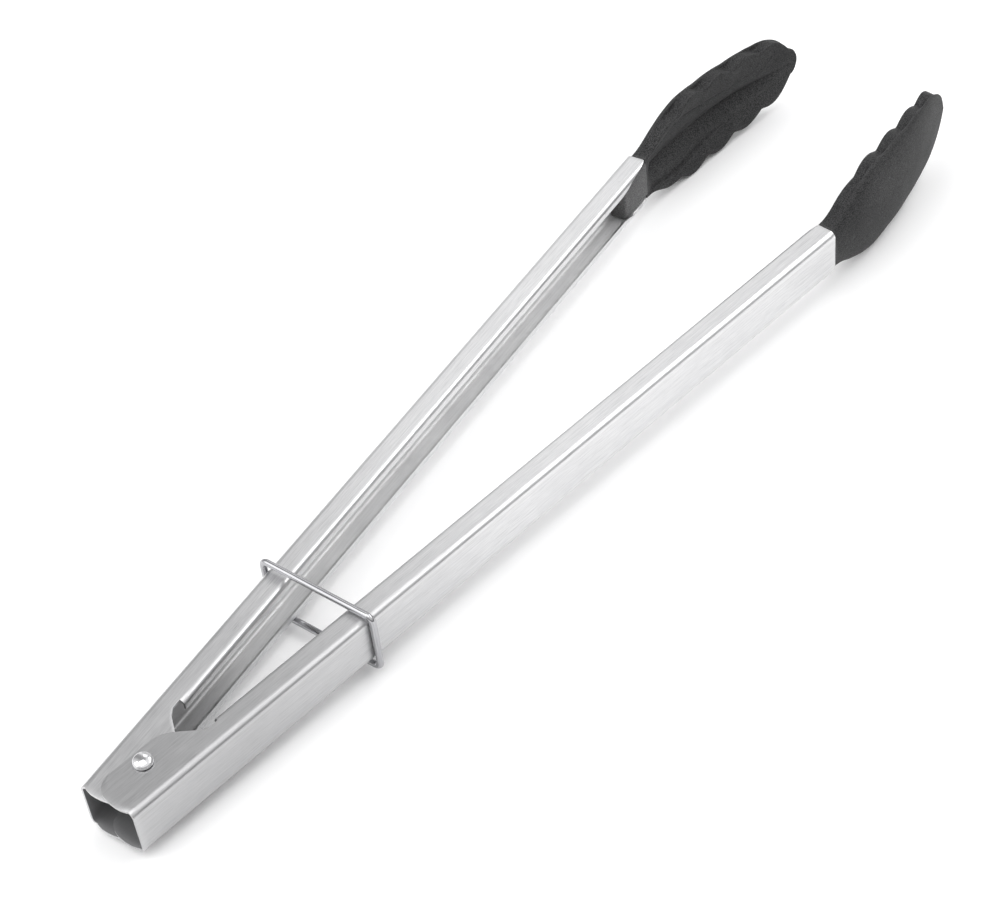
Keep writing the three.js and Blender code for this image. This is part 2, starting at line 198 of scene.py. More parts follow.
def tube(name, points, radius, sides=20, closed=False):
    """A round wire along points in millimetres, with its frame carried along the path."""
    pts = [Vector(p) for p in points]
    n = len(pts)
    tangents = []
    for i in range(n):
        a = pts[(i - 1) % n] if closed or i > 0 else pts[i]
        b = pts[(i + 1) % n] if closed or i < n - 1 else pts[i]
        tangents.append((b - a).normalized())
    normal = tangents[0].orthogonal().normalized()
    rows, lengths, total = [], [], 0.0
    for i in range(n):
        normal = (normal - tangents[i] * normal.dot(tangents[i])).normalized()
        side = tangents[i].cross(normal)
        rows.append(
            [
                tuple(
                    pts[i]
                    + radius * math.cos(2 * math.pi * k / sides) * normal
                    + radius * math.sin(2 * math.pi * k / sides) * side
                )
                for k in range(sides)
            ]
        )
        lengths.append(total)
        total += (pts[(i + 1) % n] - pts[i]).length
    if closed:
        rows.append(rows[0])
        lengths.append(total)
    around = 2 * math.pi * radius

    def uvs(a, b):
        return lengths[a] / 1000, around * b / sides / 1000

    mesh = grid_mesh(name, rows, closed_rows=True, cap=not closed, uvs=uvs)
    if closed:
        weld(mesh)
    shade_smooth(mesh, 50)
    return mesh


# ------------------------------------------------------------------ materials


class Nodes:
    """A small helper that adds and joins shader nodes."""

    def __init__(self, name):
        self.material = bpy.data.materials.new(name)
        self.material.use_nodes = True
        self.tree = self.material.node_tree
        self.shader = self.tree.nodes["Principled BSDF"]

    def add(self, kind):
        return self.tree.nodes.new(kind)

    def link(self, a, b):
        self.tree.links.new(a, b)

    def coords(self, output, scale=(1, 1, 1)):
        source = self.add("ShaderNodeTexCoord")
        mapping = self.add("ShaderNodeMapping")
        mapping.inputs["Scale"].default_value = scale
        self.link(source.outputs[output], mapping.inputs["Vector"])
        return mapping.outputs["Vector"]

    def noise(self, vector, scale, detail=4.0, rough=0.55):
        node = self.add("ShaderNodeTexNoise")
        node.inputs["Scale"].default_value = scale
        node.inputs["Detail"].default_value = detail
        node.inputs["Roughness"].default_value = rough
        self.link(vector, node.inputs["Vector"])
        return node.outputs["Fac"]

    def ramp(self, fac, stops):
        node = self.add("ShaderNodeValToRGB")
        ramp = node.color_ramp
        while len(ramp.elements) < len(stops):
            ramp.elements.new(0.5)
        for element, (position, color) in zip(ramp.elements, stops):
            element.position = position
            element.color = (*color, 1)
        self.link(fac, node.inputs["Fac"])
        return node.outputs["Color"]

    def remap(self, fac, lo, hi, from_lo=0.0, from_hi=1.0):
        node = self.add("ShaderNodeMapRange")
        node.inputs["From Min"].default_value = from_lo
        node.inputs["From Max"].default_value = from_hi
        node.inputs["To Min"].default_value = lo
        node.inputs["To Max"].default_value = hi
        self.link(fac, node.inputs["Value"])
        return node.outputs["Result"]

    def maths(self, operation, a, b):
        node = self.add("ShaderNodeMath")
        node.operation = operation
        for socket, value in zip(node.inputs, (a, b)):
            if isinstance(value, (int, float)):
                socket.default_value = value
            else:
                self.link(value, socket)
        return node.outputs["Value"]

    def mix(self, fac, a, b):
        node = self.add("ShaderNodeMix")
        node.data_type = "RGBA"
        self.link(fac, node.inputs["Factor"])
        for socket, value in ((node.inputs[6], a), (node.inputs[7], b)):
            if isinstance(value, tuple):
                socket.default_value = (*value, 1)
            else:
                self.link(value, socket)
        return node.outputs[2]

    def bump(self, height, strength, distance):
        node = self.add("ShaderNodeBump")
        node.inputs["Strength"].default_value = strength
        node.inputs["Distance"].default_value = distance
        self.link(height, node.inputs["Height"])
        return node.outputs["Normal"]

    def along_arm(self):
        """The distance from the pivot in metres, which the sheet's UV map carries."""
        split = self.add("ShaderNodeSeparateXYZ")
        self.link(self.coords("UV"), split.inputs["Vector"])
        return split.outputs["X"]

    def edge_highlight(self):
        """1 on sharp outer edges, 0 on flats: the mask for painted edge highlights."""
        return self.remap(self.add("ShaderNodeNewGeometry").outputs["Pointiness"], 0, 1, 0.5, 0.58)


def inner_steel():
    """The channel's inside: duller than its outside, paler than it as painted light, and darkened towards
    the pivot end by painted shade.
    """
    m = Nodes("arm_mill_steel")
    rolled = m.noise(m.coords("UV", (70, 1300, 1)), 1.0, 4.0)
    cloud = m.noise(m.coords("Object"), 70.0, 4.0)
    specks = m.noise(m.coords("Object"), 900.0, 2.0)
    # painted light: paler tones than the outside steel, for the light inside the channel
    tone = m.mix(m.remap(rolled, 0, 1, 0.3, 0.7), (0.78, 0.78, 0.78), (0.92, 0.92, 0.92))
    tone = m.mix(m.remap(cloud, 0, 0.35, 0.4, 0.7), tone, (0.62, 0.62, 0.63))
    tone = m.mix(m.remap(specks, 0, 0.3, 0.7, 0.8), tone, (0.42, 0.42, 0.43))
    # painted shade: darker at the pivot end, fading out over the first 60 mm along the arm
    tone = m.mix(m.remap(m.along_arm(), 0.9, 0.0, 0.0, 0.06), tone, (0.16, 0.16, 0.165))
    m.link(tone, m.shader.inputs["Base Color"])
    m.shader.inputs["Metallic"].default_value = 0.45
    m.link(m.remap(cloud, 0.4, 0.52, 0.3, 0.7), m.shader.inputs["Roughness"])
    m.link(m.bump(rolled, 0.06, 0.00003), m.shader.inputs["Normal"])
    return m.material


def sheet_steel(name, pivot_shade):
    """Brushed sheet, darkened towards the pivot by painted shade, of the share given as the second
    argument.
    """
    m = Nodes(name)
    fine = m.noise(m.coords("UV", (150, 4300, 1)), 1.0, 5.0, 0.6)
    broad = m.noise(m.coords("UV", (26, 1500, 1)), 1.0, 3.0)
    cloud = m.noise(m.coords("Object"), 46.0, 3.0)
    specks = m.noise(m.coords("Object"), 900.0, 2.0)
    streaks = m.maths("ADD", m.maths("MULTIPLY", fine, 0.65), m.maths("MULTIPLY", broad, 0.35))
    tone = m.ramp(streaks, [(0.3, (0.5, 0.5, 0.505)), (0.5, (0.7, 0.7, 0.705)), (0.72, (0.86, 0.86, 0.86))])
    tone = m.mix(m.remap(cloud, 0, 0.25, 0.35, 0.7), tone, (0.62, 0.62, 0.63))
    tone = m.mix(m.remap(specks, 0, 0.3, 0.7, 0.8), tone, (0.45, 0.45, 0.46))
    # painted highlight: sharp edges lighter
    tone = m.mix(m.edge_highlight(), tone, (0.86, 0.86, 0.86))
    # painted shade: darker near the pivot, at the full share within 30 mm and gone by 150 mm
    near_pivot = m.remap(m.along_arm(), pivot_shade, 0.0, 0.03, 0.15)
    tone = m.mix(near_pivot, tone, (0.22, 0.22, 0.225))
    m.link(tone, m.shader.inputs["Base Color"])
    m.shader.inputs["Metallic"].default_value = 1.0
    rough = m.maths("ADD", m.remap(streaks, 0.26, 0.38, 0.3, 0.7), m.remap(cloud, 0, 0.05, 0.3, 0.7))
    m.link(rough, m.shader.inputs["Roughness"])
    m.shader.inputs["Anisotropic"].default_value = 0.55
    tangent = m.add("ShaderNodeTangent")
    tangent.direction_type = "UV_MAP"
    tangent.uv_map = "UVMap"
    m.link(tangent.outputs["Tangent"], m.shader.inputs["Tangent"])
    m.link(m.bump(streaks, 0.07, 0.00003), m.shader.inputs["Normal"])
    return m.material


def wire_steel(name, light, dark, rough_lo, rough_hi):
    """Polished or drawn wire: fine lines along it, a few handling marks."""
    m = Nodes(name)
    lines = m.noise(m.coords("UV", (60, 2600, 1)), 1.0, 4.0)
    marks = m.noise(m.coords("Object"), 260.0, 5.0, 0.6)
    tone = m.mix(m.remap(lines, 0, 1, 0.35, 0.7), light, dark)
    tone = m.mix(m.remap(marks, 0, 0.4, 0.6, 0.75), tone, dark)
    m.link(tone, m.shader.inputs["Base Color"])
    m.shader.inputs["Metallic"].default_value = 1.0
    m.link(m.remap(marks, rough_lo, rough_hi, 0.3, 0.7), m.shader.inputs["Roughness"])
    m.link(m.bump(lines, 0.08, 0.00003), m.shader.inputs["Normal"])
    return m.material


def plain_steel(name, light, dark, rough_lo, rough_hi):
    """Rolled or turned steel with a soft mottle, and edges painted brighter as a highlight."""
    m = Nodes(name)
    mottle = m.noise(m.coords("Object"), 320.0, 5.0)
    marks = m.noise(m.coords("Object", (1, 1, 6)), 900.0, 3.0)
    tone = m.mix(m.remap(mottle, 0, 1, 0.3, 0.7), light, dark)
    # painted highlight: sharp edges lighter
    tone = m.mix(m.edge_highlight(), tone, (0.85, 0.85, 0.85))
    m.link(tone, m.shader.inputs["Base Color"])
    m.shader.inputs["Metallic"].default_value = 1.0
    m.link(m.remap(mottle, rough_lo, rough_hi, 0.3, 0.7), m.shader.inputs["Roughness"])
    m.link(m.bump(marks, 0.1, 0.00003), m.shader.inputs["Normal"])
    return m.material


def silicone(name, painted_light):
    """Matt moulded silicone with a fine grain; the second argument lightens it as painted light, all of it
    on the lightest tone and half on the darkest.
    """
    m = Nodes(name)
    grain = m.noise(m.coords("Object"), 2600.0, 2.0, 0.6)
    fine = m.noise(m.coords("Object"), 4200.0, 2.0, 0.6)
    cloud = m.noise(m.coords("Object"), 38.0, 4.0)
    dark = (0.008 + painted_light / 2, 0.008 + painted_light / 2, 0.0082 + painted_light / 2)
    light = (0.06 + painted_light, 0.06 + painted_light, 0.061 + painted_light)
    tone = m.mix(m.remap(grain, 0, 1, 0.4, 0.62), dark, light)
    tone = m.mix(m.remap(cloud, 0, 0.4, 0.4, 0.7), tone, (0.026, 0.026, 0.027))
    dust = m.noise(m.coords("Object"), 620.0, 6.0, 0.7)
    tone = m.mix(m.remap(dust, 0, 0.5, 0.69, 0.76), tone, (0.13, 0.13, 0.13))
    # painted highlight: sharp edges lighter, for the silicone's sheen at its rims
    tone = m.mix(m.maths("MULTIPLY", m.edge_highlight(), 0.35), tone, (0.1, 0.1, 0.1))
    m.link(tone, m.shader.inputs["Base Color"])
    m.link(m.remap(cloud, 0.5, 0.62, 0.3, 0.7), m.shader.inputs["Roughness"])
    m.shader.inputs["Specular IOR Level"].default_value = 0.12
    m.shader.inputs["Sheen Weight"].default_value = 0.02
    m.shader.inputs["Sheen Roughness"].default_value = 0.45
    height = m.maths("ADD", grain, m.maths("MULTIPLY", fine, 0.5))
    m.link(m.bump(height, 0.4, 0.00005), m.shader.inputs["Normal"])
    return m.material


# One brushed steel for both arms; the right arm gets a larger share of painted shade near the pivot than
# the left
STEEL = {
    "right": sheet_steel("right_brushed_steel", 0.48),
    "left": sheet_steel("left_brushed_steel", 0.28),
}
INSIDE_STEEL = inner_steel()
POLISHED = wire_steel("polished_wire", (0.5, 0.5, 0.51), (0.34, 0.34, 0.36), 0.08, 0.16)
SPRING = wire_steel("spring_wire", (0.42, 0.42, 0.44), (0.25, 0.25, 0.27), 0.2, 0.36)
RIVET = plain_steel("rivet_steel", (0.78, 0.78, 0.79), (0.66, 0.66, 0.67), 0.07, 0.17)
CORE = plain_steel("core_steel", (0.5, 0.5, 0.51), (0.4, 0.4, 0.41), 0.34, 0.5)
SILICONE = silicone("head_silicone", 0.0)
# The plug: the same silicone, lightened as painted light for the brighter light it sits in
PLUG_SILICONE = silicone("plug_silicone", 0.12)

# ------------------------------------------------------------------ arms
# Each arm is one pressed sheet. Its middle surface is laid out by the distance along the section,
# measured from the web's centre, and by the distance along the arm, then thickened.

MID = SHEET / 2
WEB_R = WEB_BEND - MID
LIP_R = LIP_BEND - MID
WEB_FLAT = ARM_HEIGHT / 2 - WEB_BEND
FLANGE_U = ARM_DEPTH - LIP_BEND
ARC = math.pi / 2


def section_lines():
    """Points of half the section, from the web's centre to the flange's edge: (u, z, length)."""
    half = ARM_HEIGHT / 2
    line = [(MID, z, z) for z in (0.0, WEB_FLAT * 0.35, WEB_FLAT * 0.7, WEB_FLAT * 0.93, WEB_FLAT)]
    for i in range(1, 9):
        a = ARC * i / 8
        line.append(
            (
                WEB_BEND - WEB_R * math.cos(a),
                half - WEB_BEND + WEB_R * math.sin(a),
                WEB_FLAT + WEB_R * a,
            )
        )
    start = WEB_FLAT + WEB_R * ARC
    for k in (0.07, 0.5, 0.93, 1.0):
        u = lerp(WEB_BEND, FLANGE_U, k)
        line.append((u, half - MID, start + u - WEB_BEND))
    return line


def lip_lines():
    """Points of the lip, from the flange's edge to the lip's edge."""
    half = ARM_HEIGHT / 2
    line = []
    start = section_lines()[-1][2]
    for i in range(0, 8):
        a = ARC * i / 7
        line.append(
            (FLANGE_U + LIP_R * math.sin(a), half - LIP_BEND + LIP_R * math.cos(a), start + LIP_R * a)
        )
    for k in (0.15, 0.5, 1.0):
        z = lerp(half - LIP_BEND, half - LIP, k)
        line.append((FLANGE_U + LIP_R, z, start + LIP_R * ARC + half - LIP_BEND - z))
    return line


def quad(a, b, c, t):
    return a * (1 - t) ** 2 + 2 * b * t * (1 - t) + c * t * t


def cubic(a, b, c, d, t):
    return a * (1 - t) ** 3 + 3 * b * t * (1 - t) ** 2 + 3 * c * t * t * (1 - t) + d * t**3


def solve(f, target):
    lo, hi = 0.0, 1.0
    for _ in range(40):
        mid = (lo + hi) / 2
        if f(mid) < target:
            lo = mid
        else:
            hi = mid
    return (lo + hi) / 2


BACK = -ARM_BEHIND - EAR_BULGE
CORNER_U = EAR_EDGE - EAR_CORNER - 2 * EAR_BULGE


def arm_back(u):
    """Where the arm's sheet ends behind the rivet, at a distance from the web's outer plane."""
    if u <= WEB_BEND:
        return -ARM_BEHIND
    if u <= CORNER_U:
        t = solve(lambda k: quad(WEB_BEND, WEB_BEND + EAR_BULGE, CORNER_U, k), u)
        return quad(-ARM_BEHIND, BACK, BACK, t)
    t = solve(lambda k: quad(CORNER_U, EAR_EDGE, EAR_EDGE, k), u)
    return quad(BACK, BACK, BACK + EAR_CORNER + EAR_BULGE, t)


def ear_front(u):
    """Where an ear's inner edge crosses a distance from the web's outer plane."""
    t = solve(lambda k: -cubic(EAR_EDGE, EAR_EDGE, FLANGE_U, FLANGE_U, k), -u)
    return cubic(EAR_FLAT_TO, EAR_FLAT_TO + EAR_CORNER, EAR_END - EAR_CORNER / 2, EAR_END, t)


def lip_front(z):
    """Where the curved cut at the head ends the lip, at a height from the arm's mid height."""
    start = ARM_AHEAD - LIP_CUT_BACK
    low, high = ARM_HEIGHT / 2 - LIP, ARM_HEIGHT / 2 - SHEET / 2
    steep, easy = start + LIP_CUT_BACK / 4, start + LIP_CUT_BACK / 2
    if z <= high - LIP / 4:
        t = solve(lambda k: cubic(low, low, high - LIP / 3, high - LIP / 4, k), z)
        return cubic(start, steep, steep, easy, t)
    return lerp(easy, ARM_AHEAD, (z - high + LIP / 4) / (LIP / 4))


def flange_front(u):
    """Where the flange ends at the head, with its rounded corner."""
    over = u - (ARM_DEPTH - FLANGE_CORNER)
    if over <= 0:
        return ARM_AHEAD
    over = min(over, FLANGE_CORNER)
    return ARM_AHEAD - FLANGE_CORNER + math.sqrt(max(0.0, FLANGE_CORNER**2 - over**2))


def even(a, b, n):
    return [lerp(a, b, i / n) for i in range(n)]


BACK_STATIONS = even(0, 1, 6)
EAR_STATIONS = even(0, 1, 12)
NOTCH_STATIONS = even(0, 1, 3)
ARM_STATIONS = even(0, 1, 46)
CUT_STATIONS = [i / 12 for i in range(13)]
CUT_START = ARM_AHEAD - LIP_CUT_BACK


def stations(back, ear_end, front):
    """Distances along the arm for one line of the section."""
    s = [lerp(back, 0, k) for k in BACK_STATIONS]
    s += [lerp(0, ear_end, k) for k in EAR_STATIONS]
    s += [lerp(ear_end, LIP_START, k) for k in NOTCH_STATIONS]
    s += [lerp(LIP_START, CUT_START, k) for k in ARM_STATIONS]
    s += [lerp(CUT_START, front, k) for k in CUT_STATIONS]
    return s


EAR_COUNT = len(BACK_STATIONS) + len(EAR_STATIONS) + 1
LIP_FIRST = len(BACK_STATIONS) + len(EAR_STATIONS) + len(NOTCH_STATIONS)


def arm_mesh(name):
    bm = bmesh.new()
    layer = bm.loops.layers.uv.new("UVMap")
    known = {}

    def point(s, u, z):
        p = (s / 1000, (u - WEB_TO_AXIS) / 1000, z / 1000)
        key = tuple(round(c, 7) for c in p)
        if key not in known:
            known[key] = bm.verts.new(p)
        return known[key]

    def patch(lines, flip):
        """Faces between neighbouring lines, each a list of (s, u, z, length across)."""
        for a, b in zip(lines, lines[1:]):
            for i in range(min(len(a), len(b)) - 1):
                corners = [a[i], a[i + 1], b[i + 1], b[i]]
                verts = [point(*c[:3]) for c in corners]
                pairs = [(v, c) for k, (v, c) in enumerate(zip(verts, corners)) if v not in verts[:k]]
                if len(pairs) < 3:
                    continue
                if flip:
                    pairs.reverse()
                face = bm.faces.new([v for v, _ in pairs])
                for loop, (_, c) in zip(face.loops, pairs):
                    loop[layer].uv = (c[0] / 1000, c[3] / 1000)

    half_lines = section_lines()
    for sign in (1, -1):
        lines = []
        for u, z, length in half_lines:
            s = stations(arm_back(u), EAR_END, flange_front(u))
            lines.append([(x, u, sign * z, sign * length) for x in s])
        patch(lines, sign < 0)
        ear = []
        for i in range(11):
            u = lerp(FLANGE_U, EAR_EDGE, math.sin(ARC * i / 10))
            s = stations(arm_back(u), ear_front(u), ARM_AHEAD)[:EAR_COUNT]
            length = half_lines[-1][2] + u - FLANGE_U
            ear.append([(x, u, sign * half_lines[-1][1], sign * length) for x in s])
        patch(ear, sign < 0)
        lip = []
        for u, z, length in lip_lines():
            front = min(flange_front(u), lip_front(z))
            s = stations(0, EAR_END, front)[LIP_FIRST:]
            lip.append([(x, u, sign * z, sign * length) for x in s])
        patch(lip, sign < 0)
    bmesh.ops.remove_doubles(bm, verts=bm.verts, dist=2e-6)
    bmesh.ops.recalc_face_normals(bm, faces=bm.faces)
    web = min(bm.faces, key=lambda f: f.calc_center_median().y)
    if web.normal.y > 0:
        bmesh.ops.reverse_faces(bm, faces=bm.faces)
    mesh = bpy.data.meshes.new(name)
    bm.to_mesh(mesh)
    bm.free()
    return mesh


def cutter(radius, depth):
    bm = bmesh.new()
    circle = [
        (radius * math.cos(2 * math.pi * k / 48) / 1000, radius * math.sin(2 * math.pi * k / 48) / 1000)
        for k in range(48)
    ]
    low = [bm.verts.new((x, y, -depth / 1000)) for x, y in circle]
    high = [bm.verts.new((x, y, depth / 1000)) for x, y in circle]
    for k in range(48):
        bm.faces.new([low[k], low[(k + 1) % 48], high[(k + 1) % 48], high[k]])
    bm.faces.new(list(reversed(low)))
    bm.faces.new(high)
    mesh = bpy.data.meshes.new("cutter")
    bm.to_mesh(mesh)
    bm.free()
    obj = bpy.data.objects.new("cutter", mesh)
    bpy.context.scene.collection.objects.link(obj)
    return obj


def make_arm(side, word):
    mesh = arm_mesh(word + "_arm_sheet")
    obj = bpy.data.objects.new(word + "_arm_sheet", mesh)
    bpy.context.scene.collection.objects.link(obj)
    thick = obj.modifiers.new("thickness", "SOLIDIFY")
    thick.thickness = SHEET / 1000
    thick.offset = 0.0
    thick.use_even_offset = True
    mesh.materials.append(STEEL[word])
    mesh.materials.append(INSIDE_STEEL)
    thick.material_offset = 1
    thick.material_offset_rim = 0
    hole = cutter(RIVET_SHANK_R + CLEAR, ARM_HEIGHT)
    cut = obj.modifiers.new("hole", "BOOLEAN")
    cut.operation = "DIFFERENCE"
    cut.solver = "EXACT"
    cut.object = hole
    edge = obj.modifiers.new("edges", "BEVEL")
    edge.width = 0.16 / 1000
    edge.segments = 2
    edge.limit_method = "ANGLE"
    edge.angle_limit = math.radians(50)
    edge.use_clamp_overlap = True
    apply_modifiers(obj)
    bpy.data.objects.remove(hole)
    mesh = obj.data
    mesh.transform(arm_frame(side))
    shade_smooth(mesh, 35)
    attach(obj, word + "_side")
    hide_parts(word + "_arm")


# ------------------------------------------------------------------ silicone heads


def half_width(d):
    tip_start = HEAD_LENGTH - TIP_ROUND
    plain = lerp(ARM_HEIGHT / 2, HEAD_HALF_WIDTH, smooth(d / HEAD_WIDEST_AT))
    narrowing = clamp((d - HEAD_WIDEST_AT) / (tip_start - HEAD_WIDEST_AT)) ** 2
    tapered = lerp(plain, HEAD_TIP_HALF_WIDTH, narrowing)
    return tapered * math.sqrt(1 - clamp((d - tip_start) / TIP_ROUND) ** 2)


def scallop(d):
    first = d < FIRST_NOTCH
    phase = d / FIRST_NOTCH if first else (d - FIRST_NOTCH) / SCALLOP_PITCH
    wave = abs(math.sin(math.pi * phase))
    soft = math.sqrt(wave**2 + 0.012) - SCALLOP_MEAN
    start = smooth(d / SCALLOP_PITCH)
    return SCALLOP_DEPTH * soft * start * smooth((HEAD_LENGTH - d) / SCALLOP_END)


def head_profile(d):
    t = d / HEAD_LENGTH
    rim = lerp(RIM_AT_NECK, RIM_AT_TIP, t) - RIM_SAG * 4 * t * (1 - t)
    whole = lerp(RIM_AT_NECK, HEAD_DEPTH, smooth(d / DEPTH_REACHED))
    depth = lerp(whole, TIP_DEPTH, smooth((d - THIN_FROM) / (HEAD_LENGTH - THIN_FROM)))
    band = min(RIM_BAND, depth * BAND_SHARE)
    return rim, rim - band, rim - depth, depth


WALL = 2.4
SHELF = 0.85  # how much of each notch is cut as a shelf into the smooth back
RIM_SOFT = 0.7  # rounding of the rim's outer edge
BACK_STEPS = 26
RIM_STEPS = 5
BOWL_STEPS = 14
# Points of the shelf: share of the band's height, of the shelf's width, and a small easing in mm.
SHELF_POINTS = ((0.05, 0.10, 0.03), (0.10, 0.45, 0.08), (0.15, 0.85, 0.09), (0.24, 1.0, 0.04))
WHOLE_HALF = 9.0  # half width from which the small features have their whole size
FACE_AT_NECK = 0.9  # width of the sloping face between the rim and the crease
FACE_AT_MIDDLE = 7.6
FACE_GROWN = 50.0  # where the face has its whole width, from the head's start
CREASE_DEPTH = 1.25
CREASE_FADES_FROM = 26.0
CREASE_FADES_OVER = 36.0
CREASE_WIDTH = 0.5
# Points across the crease: share of its width and of its depth.
CREASE_POINTS = ((0.25, 0.12), (0.55, 0.55), (0.85, 0.95), (1.2, 1.06), (2.0, 1.0))
HEAD_STATIONS = 150


def head_loop(d):
    """Half a section: over the back, in at the shelf, up the scalloped band, through the bowl."""
    rim, ridge, back, depth = head_profile(d)
    half = half_width(d)
    edge = half + scallop(d)
    crest = half + SCALLOP_DEPTH * (1 - SCALLOP_MEAN) * smooth(d / FIRST_NOTCH) * clamp(half / 8)
    crest = max(crest, edge)
    shoulder = lerp(edge, crest, SHELF)
    size = clamp(edge / WHOLE_HALF, 0.02, 1.0)
    rise = rim - ridge
    soft = min(RIM_SOFT, edge * 0.25, rise * 0.3)
    shelf = shoulder - edge
    half_loop = []
    for i in range(BACK_STEPS + 1):
        a = ARC * (i / BACK_STEPS) ** 0.9
        wide = math.sin(a)
        z = wide * lerp(min(half, shoulder), shoulder, wide**6)
        half_loop.append((ridge + (back - ridge) * math.cos(a) ** FULLNESS, z))
    for up, across, ease in SHELF_POINTS:
        half_loop.append((ridge + rise * up, shoulder - across * shelf - ease * size))
    for k in (0.45, 0.7):
        half_loop.append((lerp(ridge, rim, k), edge))
    for i in range(RIM_STEPS + 1):
        a = ARC * i / RIM_STEPS
        half_loop.append((rim - soft + soft * math.sin(a), edge - soft + soft * math.cos(a)))
    # inside: a face that slopes in from the rim, a crease that leaves the rim at the neck and fades
    # out past the middle, and the bowl's floor
    top = edge - soft
    reach = smooth(d / 7) * smooth((HEAD_LENGTH - d) / 30)
    bowl = max(depth - WALL, 0.3) * reach * 0.8
    crease = smooth(d / 8) * (1 - smooth((d - CREASE_FADES_FROM) / CREASE_FADES_OVER))
    grown = smooth(d / FACE_GROWN)
    face = lerp(FACE_AT_NECK, FACE_AT_MIDDLE, grown) * clamp(edge / 12, 0.05, 1.0)
    inner = min(max(min(half, edge + 1.0) - soft - face, top * 0.25), top - 0.35 * size)
    slope = bowl * lerp(0.12, 0.3, grown)
    step = min(CREASE_DEPTH * crease, bowl * 0.5)
    for k in (0.2, 0.4, 0.6, 0.8, 0.93, 1.0):
        half_loop.append((rim - slope * k**1.3, lerp(top, inner, k)))
    gap = min(CREASE_WIDTH * size, inner * 0.2)
    for k, fall in CREASE_POINTS:
        half_loop.append((rim - slope - step * fall, inner - gap * k))
    floor_edge = inner - gap * CREASE_POINTS[-1][0]
    for i in range(1, BOWL_STEPS + 1):
        a = ARC * i / BOWL_STEPS
        fall = slope + step + max(bowl - step - slope, 0.0) * (1 - math.cos(a) ** 1.9)
        half_loop.append((rim - fall, floor_edge * (1 - math.sin(a))))
    return half_loop


def head_mesh(name):
    rows, lengths = [], []
    for i in range(HEAD_STATIONS):
        flat = i / (HEAD_STATIONS - 1)
        t = lerp(flat, math.sin(ARC * flat), 0.55)
        d = HEAD_LENGTH * min(t, 0.9996)
        half = head_loop(d)
        other = [(u, -z) for u, z in half[-2:0:-1]]
        loop = half + other
        rows.append([(HEAD_START + d, u - WEB_TO_AXIS, z) for u, z in loop])
        lengths.append(d)

    def uvs(a, b):
        return lengths[a] / 1000, b / 1000

    mesh = grid_mesh(name, rows, closed_rows=True, cap=True, uvs=uvs)
    bm = bmesh.new()
    bm.from_mesh(mesh)
    bmesh.ops.triangulate(bm, faces=[f for f in bm.faces if len(f.verts) > 4])
    bmesh.ops.recalc_face_normals(bm, faces=bm.faces)
    bm.to_mesh(mesh)
    bm.free()
    return mesh


def plug_mesh(name):
    """The neck's plug in the channel: a rounded block with an eased mouth."""
    inside = SHEET + CLEAR
    u0, u1, h, r = inside, ARM_DEPTH - inside, ARM_HEIGHT / 2 - inside, WEB_BEND - SHEET
    x0, x1 = ARM_AHEAD - NECK_PLUG, HEAD_START + 0.05
    rows = []
    for x, ease in ((x0, 0.8), (x0 + 0.25, 0.3), (x0 + 0.8, 0.0), (x1 - 2, 0.0), (x1, 0.0)):
        loop = []
        corners = ((u1 - r, h - r, 0), (u0 + r, h - r, 1), (u0 + r, -h + r, 2), (u1 - r, -h + r, 3))
        for cu, cz, quarter in corners:
            for i in range(7):
                a = ARC * (quarter + i / 6)
                q = r - ease * 0.5
                loop.append((x, cu + q * math.cos(a) - WEB_TO_AXIS, cz + q * math.sin(a)))
        rows.append(loop)
    return grid_mesh(name, rows, closed_rows=True, cap=True)


def make_head(side, word):
    mesh = head_mesh(word + "_head_scoop")
    shade_smooth(mesh, 55)
    head = finish_object(
        word + "_head_scoop", mesh, SILICONE, word + "_side", arm_frame(side)
    )
    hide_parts(word + "_head")
    mesh = plug_mesh(word + "_head_plug")
    shade_smooth(mesh, 40)
    plug = finish_object(
        word + "_head_plug", mesh, PLUG_SILICONE, word + "_side", arm_frame(side)
    )
    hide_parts(word + "_head")


# ------------------------------------------------------------------ rivet, bush, spring, ring

STACK_TOP = ARM_HEIGHT / 2 + EAR_LIFT
STACK_INSIDE = ARM_HEIGHT / 2 - EAR_LIFT - SHEET
RIVET_EDGE = 0.25  # rounding under the rivet's dome
BUSH_EDGE = 0.2


def turned(profile, sides):
    """Rings of points in millimetres round the rivet's axis, one for each (radius, height)."""
    angles = [2 * math.pi * k / sides for k in range(sides)]
    return [[(r * math.cos(a), r * math.sin(a), z) for a in angles] for r, z in profile]


def make_rivet():
    seat = STACK_TOP + CLEAR
    upper = [
        (RIVET_SHANK_R, seat - 0.02),
        (RIVET_HEAD_R - RIVET_EDGE, seat),
        (RIVET_HEAD_R - 0.05, seat + 0.08),
        (RIVET_HEAD_R, seat + RIVET_EDGE),
    ]
    dome = RIVET_HEAD_RISE - RIVET_EDGE
    for i in range(1, 15):
        a = ARC * i / 15
        upper.append((RIVET_HEAD_R * math.cos(a) ** 0.9, seat + RIVET_EDGE + dome * math.sin(a)))
    upper.append((0.05, seat + RIVET_HEAD_RISE))
    profile = [(r, -z) for r, z in reversed(upper)] + upper
    mesh = grid_mesh("pivot_rivet_turned", turned(profile, 64), closed_rows=True, cap=True)
    shade_smooth(mesh, 40)
    obj = finish_object("pivot_rivet_turned", mesh, RIVET, "pivot", TONGS)
    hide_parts("pivot_rivet")


def make_bush():
    end = STACK_INSIDE - CLEAR
    inner, outer = RIVET_SHANK_R + CLEAR, BUSH_R
    lower = [(inner, -end), (outer - BUSH_EDGE, -end), (outer, -end + BUSH_EDGE)]
    upper = [(r, -z) for r, z in reversed(lower)]
    rows = turned(lower + upper + lower[:1], 48)
    mesh = grid_mesh("pivot_bush_turned", rows, closed_rows=True)
    weld(mesh)
    shade_smooth(mesh, 40)
    obj = finish_object("pivot_bush_turned", mesh, CORE, "pivot", TONGS)
    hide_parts("pivot_bush")


